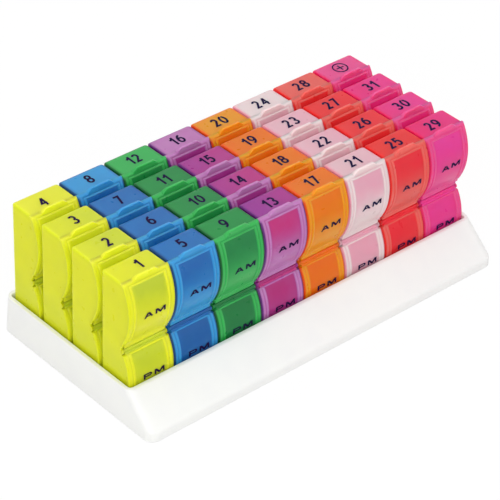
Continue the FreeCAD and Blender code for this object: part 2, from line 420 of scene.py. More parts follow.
def rod(radius: float, length: float, z: float, sides: int = 24) -> Mesh:
    """Make a round rod along X about X = 0, for a lid's pivot at a height."""
    turns = [math.tau / sides * step for step in range(sides)]
    return prism([(PIVOT_DEPTH + radius * math.cos(turn), z + radius * math.sin(turn))
                  for turn in turns], length)


def plain(piece: Piece) -> Mesh:
    """Turn a piece into a plain mesh, with its modifiers applied.

    Args:
        piece: The piece, which is removed.

    Returns:
        The mesh.
    """
    graph = bpy.context.evaluated_depsgraph_get()
    graph.update()
    made = bpy.data.meshes.new_from_object(piece.evaluated_get(graph))
    bpy.data.objects.remove(piece)
    return made


def combine(first: Mesh, others: Sequence[Mesh], operation: str) -> Mesh:
    """Unite meshes with the first one, or cut them from it.

    Args:
        first: The mesh to start from.
        others: The meshes to unite or to cut away.
        operation: UNION or DIFFERENCE.

    Returns:
        A new mesh.
    """
    body, *tools = [add_piece("combining", mesh) for mesh in (first, *others)]
    for tool in tools:
        modifier = body.modifiers.new("combine", "BOOLEAN")
        modifier.operation, modifier.solver, modifier.object = operation, "EXACT", tool
    made = plain(body)
    for tool in tools:
        bpy.data.objects.remove(tool)
    return made


def grown(tree: NodeTree, **inputs: float) -> Mesh:
    """Run a Geometry Nodes tree on an empty mesh.

    Args:
        tree: The tree.
        inputs: The values of its inputs, by name.

    Returns:
        The result as a plain mesh.
    """
    seed = add_piece("growing", bpy.data.meshes.new("growing"))
    modifier = seed.modifiers.new("grow", "NODES")
    modifier.node_group = tree
    for item in tree.interface.items_tree:
        if item.in_out == "INPUT" and item.name in inputs:
            modifier[item.identifier] = inputs[item.name]
    return tidy(plain(seed))


def joined(meshes: Sequence[Mesh]) -> Mesh:
    """Put separate meshes into one.

    Args:
        meshes: The meshes, which stay as they are.

    Returns:
        A new mesh.
    """
    made = bpy.data.meshes.new("joined")
    with bench(made) as work:
        for mesh in meshes:
            work.from_mesh(mesh)
    return made


def place(name: str, mesh: Mesh, spot: Vector, material: Material, body: str, slot: str,
          *nodes: str) -> None:
    """Copy a mesh to its spot as a finished piece, and report it.

    Args:
        name: The piece's name.
        mesh: The mesh in millimetres, about its own origin.
        spot: Where that origin stands, in millimetres.
        material: The piece's material.
        body: The CAD body that it rides on.
        slot: The record's material slot. It is not used.
        nodes: The CAD nodes that it stands for.
    """
    own = mesh.copy()
    own.name = name
    own.transform(Matrix.Scale(MM, 4) @ Matrix.Translation(spot))
    own.materials.clear()
    own.materials.append(material)
    own.shade_smooth()
    own.set_sharp_from_angle(angle=SHARP_ANGLE)
    made = add_piece(name, own)
    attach(made, body)
    if nodes:
        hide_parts(*nodes)
    LOG.info("%s: %d faces", name, len(own.polygons))


def toned(mesh: Mesh, *shaders: Shader) -> Mesh:
    """Write the tones onto a mesh, worked out from its points in millimetres.

    Args:
        mesh: The mesh.
        shaders: Give the deep tone, the seams' painted shade and the pale tone from the points' X,
            Y and Z.

    Returns:
        The same mesh.
    """
    flat = np.empty(len(mesh.vertices) * 3, np.float32)
    mesh.vertices.foreach_get("co", flat)
    points = flat.reshape(-1, 3).astype(float).T
    for name, shader in zip(Tone, shaders):
        layer = mesh.attributes.new(name.value, "FLOAT", "POINT")
        layer.data.foreach_set("value", np.clip(shader(*points), 0.0, 1.0).astype(np.float32))
    return mesh


def rise(values: Array, low: float, high: float) -> Array:
    """Rise smoothly from 0 at low to 1 at high, which may be the smaller one."""
    part = np.clip((values - low) / (high - low), 0.0, 1.0)
    return part * part * (3.0 - 2.0 * part)


# Geometry Nodes trees

class Tree(Wiring):
    """A Geometry Nodes tree with named inputs and one geometry output."""

    def __init__(self, name: str, **inputs: float) -> None:
        """Start a tree.

        Args:
            name: The tree's name.
            inputs: Its inputs and their first values. A whole number makes a whole-number input.
        """
        super().__init__(bpy.data.node_groups.new(name, "GeometryNodeTree"))
        face = self.tree.interface
        face.new_socket(name="Geometry", in_out="OUTPUT", socket_type="NodeSocketGeometry")
        for key, value in inputs.items():
            kind = "NodeSocketInt" if isinstance(value, int) else "NodeSocketFloat"
            face.new_socket(name=key, in_out="INPUT", socket_type=kind).default_value = value
        self.inputs = self.node("NodeGroupInput").outputs

    def point(self, label: str) -> Socket:
        """Return the three inputs LABEL_X, LABEL_Y and LABEL_Z as one vector."""
        return self.vector(*(self.inputs[f"{label}_{axis}"] for axis in "XYZ"))

    def close(self, geometry: Socket, material: Material) -> NodeTree:
        """End the tree in Realize Instances and Set Material.

        Args:
            geometry: What the tree makes.
            material: The material to set.

        Returns:
            The finished tree.
        """
        real = self.node("GeometryNodeRealizeInstances", (geometry,))
        dressed = self.node("GeometryNodeSetMaterial", {
            "Geometry": real.outputs[0], "Material": material})
        self.node("NodeGroupOutput", (dressed.outputs[0],))
        return self.tree


def bent_sheet(across: Line, along: Line, relief: Line, material: Material) -> NodeTree:
    """Build the tree of a sheet that is bent onto a lid's arc.

    The sheet starts as a flat slab of grid lines, and each point moves to its place on the arc.
    The relief is a profile round the rim: 0 is the outer edge and 1 the window.

    Args:
        across: Where the grid lines stand from the middle to a side, as a curve.
        along: Where they stand from the lid's root to its free end, as a curve.
        relief: The rim's profile, where 0.5 is level and a unit is a millimetre.
        material: The material to set.

    Returns:
        The tree.
    """
    tree = Tree(
        "bent_sheet", Width=25.2, Narrow_Width=22.5, Narrow_End=2.5, Middle=0.0, Start=0.0,
        End=33.0, Depth=0.0, Thickness=1.2, Length=33.0, Bulge=5.0, Hinge=36.0, Way=1.0,
        Relief=1.0, Ring_Width=25.2, Ring_Side=RIM_SIDE, Ring_End=RIM_END, Ring_Root=RIM_ROOT,
        Lines_Across=33, Lines_Along=40,
    )
    given, calc = tree.inputs, tree.math
    slab = tree.node("GeometryNodeMeshCube", {
        "Vertices X": given["Lines_Across"], "Vertices Y": given["Lines_Along"],
        "Vertices Z": 2})
    here = tree.node("GeometryNodeInputPosition").outputs[0]
    u, v, w = tree.node("ShaderNodeSeparateXYZ", (here,)).outputs

    share = tree.curve(calc("MULTIPLY", calc("ABSOLUTE", u), 2.0), across)
    stretch = tree.curve(calc("ADD", v, 0.5), along)
    span = calc("SUBTRACT", given["End"], given["Start"])
    place = calc("MULTIPLY_ADD", stretch, span, given["Start"])
    is_root = calc("LESS_THAN", place, given["Narrow_End"])
    slimmer = calc("SUBTRACT", given["Narrow_Width"], given["Width"])
    width = calc("MULTIPLY_ADD", is_root, slimmer, given["Width"])
    reach = calc("MULTIPLY", calc("SIGN", u), calc("MULTIPLY", share, width))
    x = calc("MULTIPLY_ADD", reach, 0.5, given["Middle"])

    inwards = calc("MULTIPLY", calc("ABSOLUTE", x), -1.0)
    side, end, root = (calc("DIVIDE", far, given[name]) for far, name in (
        (calc("MULTIPLY_ADD", given["Ring_Width"], 0.5, inwards), "Ring_Side"),
        (calc("SUBTRACT", given["Length"], place), "Ring_End"),
        (place, "Ring_Root")))
    ring = calc("MINIMUM", side, calc("MINIMUM", end, root))
    height = tree.curve(calc("MINIMUM", ring, 1.0), relief)
    raised = calc("MULTIPLY", calc("SUBTRACT", height, 0.5), given["Relief"])
    outer = calc("ADD", w, 0.5)
    wall = calc("MULTIPLY", given["Thickness"], calc("SUBTRACT", 1.0, outer))
    inset = calc("SUBTRACT", calc("ADD", given["Depth"], wall), calc("MULTIPLY", raised, outer))

    half = calc("MULTIPLY", given["Length"], 0.5)
    squares = calc("ADD", calc("POWER", half, 2.0), calc("POWER", given["Bulge"], 2.0))
    radius = calc("DIVIDE", squares, calc("MULTIPLY", given["Bulge"], 2.0))
    shorter = calc("POWER", calc("SUBTRACT", radius, inset), 2.0)
    off_middle = calc("POWER", calc("SUBTRACT", place, half), 2.0)
    depth = calc("SQRT", calc("SUBTRACT", shorter, off_middle))
    y = calc("SUBTRACT", calc("SUBTRACT", radius, given["Bulge"]), depth)
    z = calc("MULTIPLY_ADD", given["Way"], place, given["Hinge"])
    moved = tree.node("GeometryNodeSetPosition", {
        "Geometry": slab.outputs["Mesh"], "Position": tree.vector(x, y, z)})
    return tree.close(moved.outputs[0], material)


def bar_row(material: Material) -> NodeTree:
    """Build the tree of a row of equal bars, such as ribs or grip ridges.

    Args:
        material: The material to set.

    Returns:
        The tree. Its bars stand a pitch apart, and each next one is narrower by the taper.
    """
    tree = Tree("bar_row", Count=3, Pitch_X=0.0, Pitch_Y=0.0, Pitch_Z=0.5, Start_X=0.0,
                Start_Y=0.0, Start_Z=0.0, Size_X=10.0, Size_Y=0.2, Size_Z=0.2, Taper=0.0)
    given, calc = tree.inputs, tree.math
    line = tree.node("GeometryNodeMeshLine", {
        "Count": given["Count"], "Offset": tree.point("Pitch"),
        "Start Location": tree.point("Start")})
    bar = tree.node("GeometryNodeMeshCube", {"Size": tree.point("Size")})
    number = tree.node("GeometryNodeInputIndex").outputs[0]
    lost = calc("MULTIPLY", number, calc("DIVIDE", given["Taper"], given["Size_X"]))
    row = tree.node("GeometryNodeInstanceOnPoints", {
        "Points": line.outputs["Mesh"], "Instance": bar.outputs["Mesh"],
        "Scale": tree.vector(calc("SUBTRACT", 1.0, lost), 1.0, 1.0)})
    return tree.close(row.outputs[0], material)


# The organizer

@dataclass(frozen=True)
class Layout:
    """How the boxes stand in the tray."""

    columns: int = 8
    rows: int = 4
    column_pitch: float = 26.0
    row_pitch: float = 21.4
    first_row_y: float = -29.5
    floor: float = 2.3

    def spot(self, column: int, row: int) -> Vector:
        """Return where a box's own origin stands, under the middle of its waist's front."""
        x = (column - (self.columns - 1) / 2) * self.column_pitch
        return Vector((x, self.first_row_y + row * self.row_pitch, self.floor))


@dataclass(frozen=True)
class Bulge:
    """The circular arc that a lid follows, from its pivot at the waist to its free end."""

    length: float  # from the pivot to the free end, measured upright
    hinge: float  # the pivot's height in the box
    way: int  # 1 if the lid rises from its pivot, -1 if it hangs
    sagitta: float = 5.0  # how far the arc stands out at its middle

    def y(self, inset: float, along: float) -> float:
        """Work out the depth of the arc, moved in towards its middle.

        Args:
            inset: How far it is moved in.
            along: The place along the lid.

        Returns:
            The depth there.
        """
        radius = ((self.length / 2) ** 2 + self.sagitta ** 2) / (2 * self.sagitta)
        rest = (radius - inset) ** 2 - (along - self.length / 2) ** 2
        return radius - self.sagitta - math.sqrt(rest)

    def arc(self, inset: float, start: float, end: float, steps: int = 24) -> list[Point]:
        """Return points of the moved arc between two places, as (y, z)."""
        places = [start + (end - start) * step / steps for step in range(steps + 1)]
        return [(self.y(inset, along), self.hinge + self.way * along) for along in places]


MORNING = Bulge(length=33.058, hinge=35.942, way=1)
EVENING = Bulge(length=30.058, hinge=32.058, way=-1)


@dataclass(frozen=True)
class BoxBody:
    """The box without its lids: two compartments over a raised foot."""

    width: float = 25.2
    depth: float = 15.4  # from the waist's front to the back
    height: float = 69.0
    wall: float = 1.2
    foot: float = 2.0
    divider: Point = (33.4, 34.6)  # its lower and upper face
    divider_front: float = 3.4  # behind the knuckles
    seat: float = 1.3  # how far the lids' seats lie behind their outer faces
    seat_start: float = 1.2  # where a seat starts along its lid
    boss: float = 1.2  # radius of the side walls' round ends, which hold the pins
    notch: float = 1.25  # depth of the slot between the bosses
    socket: float = 0.75  # radius of the pin sockets
    corner: float = 0.8  # radius of the compartments' corners
    back_rounding: float = 2.0
    top_rounding: float = 0.9
    # How deep and how milky the top is, for each row from the front; the rear row's milky top is
    # painted light.
    top_tones: tuple = ((-0.1, 0.0), (0.3, 0.0), (0.2, 0.0), (-0.1, 0.85))
    # Level, upright and sideways planes that cut the faces, so that the tones can change there.
    cuts: tuple = (
        (2, (8.0, 14.0, 20.0, 26.0, 30.0, 38.0, 44.0, 50.0, 56.0, 62.0, 66.0)),
        (1, (-2.0, 0.6, 3.0, 5.5, 8.0, 10.5, 12.4)),
        (0, (-10.6, -6.0, 0.0, 6.0, 10.6)))

    def outline(self) -> list[Point]:
        """Return the side view."""
        front = EVENING.y(self.seat, EVENING.length)
        return [
            (self.depth, 0.0), (self.depth, self.height),
            *MORNING.arc(self.seat, MORNING.length, self.seat_start),
            *self.pin_boss(MORNING), (self.notch, MORNING.hinge - self.boss),
            (self.notch, EVENING.hinge + self.boss), *reversed(self.pin_boss(EVENING)),
            *EVENING.arc(self.seat, self.seat_start, EVENING.length),
            (front, self.foot), (front, 0.0),
        ]

    def pin_boss(self, bulge: Bulge) -> list[Point]:
        """Return the round end of a side wall about a lid's pins, from the lid to the notch."""
        turns = [math.radians(111.0 + 159.0 * step / 9) for step in range(10)]
        return [(self.boss * (1 + math.cos(turn)), bulge.hinge + bulge.way * self.boss
                 * math.sin(turn)) for turn in turns]

    def meshes(self) -> list[Mesh]:
        """Build the body once for each row.

        Returns:
            The meshes in millimetres, with their tones.
        """
        inner, span, below = self.width - 2 * self.wall, (-8.0, self.depth - self.wall), -8.0
        low, high = self.divider
        form = combine(self.rounded(), [
            block(inner, span, (high, self.height - self.wall), self.corner),
            block(inner, span, (self.foot + self.wall, low), self.corner),
            block(inner, span, (below, self.foot)),
            block(inner, (span[0], self.divider_front), self.divider),
            *(rod(self.socket, inner + 2 * self.socket, bulge.hinge, 16)
              for bulge in (MORNING, EVENING)),
        ], "DIFFERENCE")
        with bench(form) as work:
            for axis, places in self.cuts:
                for spot in places:
                    geometry = [*work.verts, *work.edges, *work.faces]
                    bmesh.ops.bisect_plane(work, geom=geometry, dist=1e-4,
                                           plane_co=[spot * (axis == turn) for turn in range(3)],
                                           plane_no=[axis == turn for turn in range(3)])
            bmesh.ops.remove_doubles(work, verts=work.verts, dist=1e-4)
        return [toned(form.copy(), lambda x, y, z: self.deep(x, y, z, deep), self.dark,
                      lambda x, y, z: self.pale(y, z, pale)) for deep, pale in self.top_tones]

    def rounded(self) -> Mesh:
        """Build the outer form with its back and top edges rounded.

        Returns:
            The mesh.
        """
        form = prism(self.outline(), self.width)
        with bench(form) as work:
            weights, near = work.edges.layers.float.new("bevel_weight_edge"), 0.01
            for edge in work.edges:
                first, last = (vertex.co for vertex in edge.verts)
                is_back = min(first.y, last.y) > self.depth - near
                is_top = min(first.z, last.z) > self.height - near
                if is_back and (is_top or abs(first.z - last.z) > near):
                    edge[weights] = 1.0
                elif is_top and abs(first.x - last.x) <= near:
                    edge[weights] = self.top_rounding / self.back_rounding
        piece = add_piece("rounding", form)
        bevel = piece.modifiers.new("bevel", "BEVEL")
        bevel.limit_method, bevel.width, bevel.segments = "WEIGHT", self.back_rounding, 4
        return plain(piece)

    # In the tones, each rise says between which two places a tone grows, in millimetres.

    def deep(self, x: Array, y: Array, z: Array, top: float) -> Array:
        """Work out how deep the colour is: more in the lower half, and painted shade inside the
        compartments.

        Args:
            x: The points' places along X.
            y: Their depths.
            z: Their heights.
            top: How deep the top's colour is on the left.

        Returns:
            The tone of each point.
        """
        # Painted shade on the compartments' inner faces.
        inside = 0.45 * rise(abs(x), 12.3, 11.3) * rise(z, 68.9, 67.9) * rise(y, 15.2, 14.0)
        across = (top + 0.4 * rise(x, -9.0, 9.0)) * self.on_top(z)
        return 0.05 + 0.25 * rise(z, 38.0, 26.0) + inside + across

    def dark(self, x: Array, y: Array, z: Array) -> Array:
        """Work out the painted shade in the seams: the walls' front edges, the waist, the outer
        edges.

        Args:
            x: The points' places along X.
            y: Their depths.
            z: Their heights.

        Returns:
            The tone of each point.
        """
        x = abs(x)
        # Painted shade in the gaps beside and behind the box, at the top's outer edges and in the
        # waist's recess.
        front = 0.3 * rise(y, 0.6, -2.0) * rise(x, 12.2, 12.5) * rise(z, 68.0, 64.0)
        waist = 0.4 * rise(abs(z - WAIST), 3.6, 1.4) * rise(y, 4.0, 0.5)
        rim = 0.8 * rise(z, 67.0, 68.4) * np.maximum(rise(x, 11.4, 12.2), rise(y, 13.8, 14.8))
        upright = 0.4 * rise(x, 11.4, 12.4) * rise(y, 13.4, 14.8)
        return np.maximum.reduce([front, waist, rim, upright])

    def pale(self, y: Array, z: Array, top: float) -> Array:
        """Return how milky the thick places are: the divider's level, and the painted light on the
        rear tops.
        """
        divider = 0.35 * rise(abs(z - WAIST), 0.9, 0.5) * rise(y, 3.0, 5.0)
        # The top's pale tone is painted light, strongest on the rear row.
        return np.maximum(divider, top * self.on_top(z))

    def on_top(self, z: Array) -> Array:
        """Return 1 on the level top."""
        return rise(z, self.height - 0.5, self.height)


@dataclass(frozen=True)
class Lid:
    """A bulged lid with its rim, bead, window, plug, thumb tab and pivot."""

    bulge: Bulge
    width: float = 25.8
    thickness: float = 1.25
    leaf_start: float = 1.35  # where the full width starts along the lid
    knuckle: float = 1.2
    knuckle_width: float = 22.5  # between the box's side walls
    pin: float = 0.7
    pin_span: float = 24.1  # from one pin's end to the other's
    plug: Point = (0.9, 3.0)  # where the plug rib lies, as insets from the outer face
    plug_rib: float = 0.9
    plug_side: float = 1.65  # from the lid's side edge to the plug
    plug_start: float = 3.2
    tab_base: float = 14.5  # the tab's width at its root
    tab_tip: float = 9.4  # its width at its edge
    tab_height: float = 1.9
    tab_thickness: float = 1.3
    tab_lean: float = 0.5  # how far it leans forward
    tab_edge: float = 0.25  # how far its edge is bevelled
    tab_shoulder: Point = (0.3, 0.8)  # below its edge, and how much wider it is there
    deepest: float = 1.0  # how deep the window's colour gets
    clearest: float = 0.0  # how deep it is at its lightest end
    milky: float = 0.85  # how milky it is there
    shadow: float = 0.0  # how much of the seams' colour the window holds
    lip: tuple = ()  # the lip that hangs from the knuckle over the waist, as (y, height) points
    lip_play: float = 0.02  # how much narrower than the knuckle it is
    # The ridges of the tab's grip: width, depth and height, and how much narrower each next is.
    ridge: Spot = (11.5, 0.24, 0.2)
    ridge_taper: float = 1.2
    ridge_pitch: float = 0.5
    ridge_start: float = 0.25  # from the lid's free end to the first one

    # Curves of the sheet: where its grid lines stand across, and the rim's profile with its bead.
    ACROSS = ((0.0, 0.0), (0.30, 0.66), (1.0, 1.0))
    RELIEF = ((0.0, 0.0), (0.05, 0.24), (0.11, 0.42), (0.18, 0.5), (0.50, 0.5), (0.58, 0.32),
              (0.66, 0.32), (0.75, 0.66), (0.90, 0.66), (1.0, 0.38))
    EVEN, LEVEL = ((0.0, 0.0), (1.0, 1.0)), ((0.0, 0.5), (1.0, 0.5))
    LINES = 41

    def along(self) -> list[Point]:
        """Work out where the grid lines stand from the root to the free end.

        Returns:
            The curve's points.
        """
        count, length = self.LINES - 1.0, self.bulge.length
        stops = ((0.0, 0.0), (4.0, self.leaf_start - 0.02), (5.0, self.leaf_start + 0.02),
                 (10.0, 4.0), (31.0, length - 2.8), (count, length))
        return [(line / count, place / length) for line, place in stops]

    def mesh(self, ridges: NodeTree, material: Material) -> Mesh:
        """Build the lid.

        Args:
            ridges: The tree of a row of bars, for the tab's grip.
            material: Any material, which the placed copies replace.

        Returns:
            The mesh in millimetres, with its tones.
        """
        bulge = self.bulge
        shared = {"Length": bulge.length, "Hinge": bulge.hinge, "Way": float(bulge.way)}
        sheet = grown(
            bent_sheet(self.ACROSS, self.along(), self.RELIEF, material), **shared,
            Width=self.width, Ring_Width=self.width, Narrow_Width=self.knuckle_width,
            Narrow_End=self.leaf_start, End=bulge.length, Thickness=self.thickness,
            Lines_Across=self.LINES, Lines_Along=self.LINES)
        bar = bent_sheet(self.EVEN, self.EVEN, self.LEVEL, material)
        end = bulge.length - self.plug_side
        side = self.width / 2 - self.plug_side - self.plug_rib / 2
        plug = [
            grown(bar, **shared, Width=width, Narrow_Width=width, Middle=middle, Start=start,
                  End=end, Depth=self.plug[0], Thickness=self.plug[1] - self.plug[0],
                  Relief=0.0, Lines_Across=2, Lines_Along=lines)
            for width, middle, start, lines in (
                (self.plug_rib, -side, self.plug_start, 20),
                (self.plug_rib, side, self.plug_start, 20),
                (2 * side, 0.0, end - self.plug_rib, 2))
        ]
        pivot = [rod(self.knuckle, self.knuckle_width, bulge.hinge),
                 rod(self.pin, self.pin_span, bulge.hinge, 16)]
        if self.lip:
            pivot.append(prism([(y, bulge.hinge + height) for y, height in self.lip],
                               self.knuckle_width - self.lip_play))
        sizes = dict(zip(("Size_X", "Size_Y", "Size_Z"), self.ridge))
        grip = grown(ridges, **sizes, Count=3, Taper=self.ridge_taper,
                     Pitch_Z=self.ridge_pitch * bulge.way, Start_Y=-self.tab_lean,
                     Start_Z=bulge.hinge + bulge.way * (bulge.length + self.ridge_start))
        made = combine(sheet, [*pivot, *plug, self.tab(), grip], "UNION")
        return toned(tidy(made, 1e-3), self.deep, self.dark, self.pale)

    def tab(self) -> Mesh:
        """Build the thumb tab, which leans forward from the free end.

        Returns:
            The mesh.
        """
        bulge, length, lean = self.bulge, self.bulge.length, self.tab_lean
        root, tip, edge = length - self.thickness, length + self.tab_height, self.tab_edge
        below, wider = self.tab_shoulder
        outer = 0.05  # how far its root starts inside the sheet
        inner, outlines = self.thickness - outer, []
        for place_along, front, back, width in (
            (root, bulge.y(outer, root), bulge.y(inner, root), self.tab_base),
            (length, -lean, bulge.y(inner, length), self.tab_base),
            (tip - below, -lean, self.tab_thickness - lean, self.tab_tip + wider),
            (tip, edge - lean, self.tab_thickness - lean - edge, self.tab_tip),
        ):
            half, z = width / 2, bulge.hinge + bulge.way * place_along
            outlines.append([(-half, front, z), (half, front, z), (half, back, z),
                             (-half, back, z)])
        return loft(outlines)

    def places(self, x: Array, z: Array) -> tuple[Array, Array]:
        """Work out where points lie on the lid.

        Args:
            x: The points' places along X.
            z: Their heights.

        Returns:
            Their places along the lid, and on its rim: 0 is the edge and 1 the window.
        """
        along = (z - self.bulge.hinge) * self.bulge.way
        side, end = (self.width / 2 - abs(x)) / RIM_SIDE, (self.bulge.length - along) / RIM_END
        return along, np.minimum(side, np.minimum(end, along / RIM_ROOT))

    def window(self, ring: Array) -> Array:
        """Return how far a place on the rim lies in the window."""
        return rise(ring, 0.88, 1.18)

    def groove(self, ring: Array) -> Array:
        """Return how far a place on the rim lies in the groove by the bead."""
        return rise(abs(ring - 0.62), 0.10, 0.03)

    def fade(self, along: Array) -> Array:
        """Return 1 at the window's upper end, and 0 at its lower one."""
        length = self.bulge.length
        return rise(along if self.bulge.way > 0 else length - along, 0.12 * length, 0.85 * length)

    def deep(self, x: Array, y: Array, z: Array) -> Array:
        """Work out how deep the colour is: the window's painted shade of the hollow behind,
        deepest where it faces up, and painted shade in the groove and at a knuckle without a lip.

        Args:
            x: The points' places along X.
            y: Their depths.
            z: Their heights.

        Returns:
            The tone of each point.
        """
        along, ring = self.places(x, z)
        level = self.clearest + (self.deepest - self.clearest) * self.fade(along)
        # Painted shade at the knuckle's root in the waist, and in the groove by the bead.
        knuckle = 0.0 if self.lip else rise(along, 1.3, 0.8)
        return np.maximum(np.maximum(self.window(ring) * level, 0.5 * self.groove(ring)), knuckle)

    def dark(self, x: Array, y: Array, z: Array) -> Array:
        """Work out the painted shade in the seams: the side edges, and the root in the waist.

        Args:
            x: The points' places along X.
            y: Their depths.
            z: Their heights.

        Returns:
            The tone of each point.
        """
        along, ring = self.places(x, z)
        length = self.bulge.length
        # Painted shade in the gaps beside the lid and in the waist's recess.
        side = 0.9 * rise(abs(x), 11.75, 12.35) * rise(along, length, length - 2.0)
        root = 0.0 if self.lip else 0.3 * rise(along, 0.6, -0.4)
        return np.maximum(np.maximum(side, root), self.shadow * self.window(ring))

    def pale(self, x: Array, y: Array, z: Array) -> Array:
        """Work out how milky the thick places are: rim, bead and tab.

        Args:
            x: The points' places along X.
            y: Their depths.
            z: Their heights.

        Returns:
            The tone of each point.
        """
        along, ring = self.places(x, z)
        rim = 0.9 * rise(ring, 1.12, 0.90) * (1.0 - 0.55 * self.groove(ring))
        glass = self.milky * self.window(ring) * (1.0 - self.fade(along))
        tab = rise(along, self.bulge.length - 0.3, self.bulge.length + 0.2)
        foot = 1.0 if self.lip else rise(along, 0.8, 1.5)
        return np.maximum.reduce([rim, glass, tab]) * foot


def bow(middle: Point, reach: Point, start: float, end: float, steps: int = 12) -> list[Point]:
    """Return points of an ellipse's arc.

    Args:
        middle: Its middle.
        reach: Its half width and half height.
        start: Where it starts, in degrees, 0 on the right and 90 at the top.
        end: Where it ends.
        steps: How many stretches it has.

    Returns:
        The points.
    """
    turns = [math.radians(start + (end - start) * step / steps) for step in range(steps + 1)]
    return [(middle[0] + reach[0] * math.cos(turn), middle[1] + reach[1] * math.sin(turn))
            for turn in turns]


# Each digit's strokes as middle lines in a box one wide and one high, and its width by its height.
DIGITS = {
    "0": ([bow((0.5, 0.5), (0.5, 0.5), 90, 430, 28)], 0.58),
    "1": ([[(1.0, 1.1), (1.0, -0.1)], [(-0.1, 0.72), (0.5, 0.80), (0.95, 1.0)]], 0.40),
    "2": ([[*bow((0.48, 0.72), (0.46, 0.28), 160, -20, 14), (0.0, 0.0), (1.0, 0.0)]], 0.54),
    "3": ([bow((0.44, 0.75), (0.48, 0.25), 150, -90, 16),
           bow((0.44, 0.26), (0.56, 0.26), 90, -152, 18)], 0.54),
    "4": ([[(0.72, 1.0), (0.0, 0.27), (1.0, 0.27)], [(0.72, 1.0), (0.72, -0.1)]], 0.60),
    "5": ([[(0.92, 1.0), (0.16, 1.0), (0.08, 0.58),
            *bow((0.44, 0.33), (0.54, 0.32), 100, -146, 16)]], 0.54),
    "6": ([bow((0.5, 0.31), (0.5, 0.31), 150, 510, 28),
           bow((0.92, 0.31), (0.92, 0.69), 93, 176)], 0.56),
    "7": ([[(0.0, 1.0), (1.0, 1.0), (0.34, -0.1)]], 0.54),
    "8": ([bow((0.5, 0.76), (0.43, 0.24), 270, 630, 24),
           bow((0.5, 0.27), (0.5, 0.27), 90, 450, 26)], 0.56),
    "9": ([bow((0.5, 0.69), (0.5, 0.31), -30, 330, 28),
           bow((0.08, 0.69), (0.92, 0.69), -87, -4)], 0.56),
}
# The wide capitals, a height of 2.5: outlines with holes, and where the next letter starts.
CAPITALS = {
    "A": ([[(0.0, 0.0), (1.62, 2.5), (2.92, 2.5), (4.75, 0.0), (3.72, 0.0), (3.34, 0.58),
            (1.36, 0.58), (0.98, 0.0)], [(1.72, 1.08), (2.26, 1.92), (2.88, 1.08)]], 5.9),
    "M": ([[(0.0, 0.0), (0.0, 2.5), (1.15, 2.5), (2.6, 1.02), (4.05, 2.5), (5.2, 2.5), (5.2, 0.0),
            (4.34, 0.0), (4.34, 1.5), (2.92, 0.0), (2.28, 0.0), (0.86, 1.5), (0.86, 0.0)]], 5.2),
    "P": ([[(0.0, 0.0), (0.0, 2.5), (3.1, 2.5), *bow((3.1, 1.67), (1.25, 0.83), 80, -80, 8),
            (3.1, 0.84), (0.88, 0.84), (0.88, 0.0)],
           [(0.88, 1.38), (3.05, 1.38), *bow((3.05, 1.67), (0.42, 0.29), -70, 70, 5), (3.05, 1.96),
            (0.88, 1.96)]], 5.7),
}


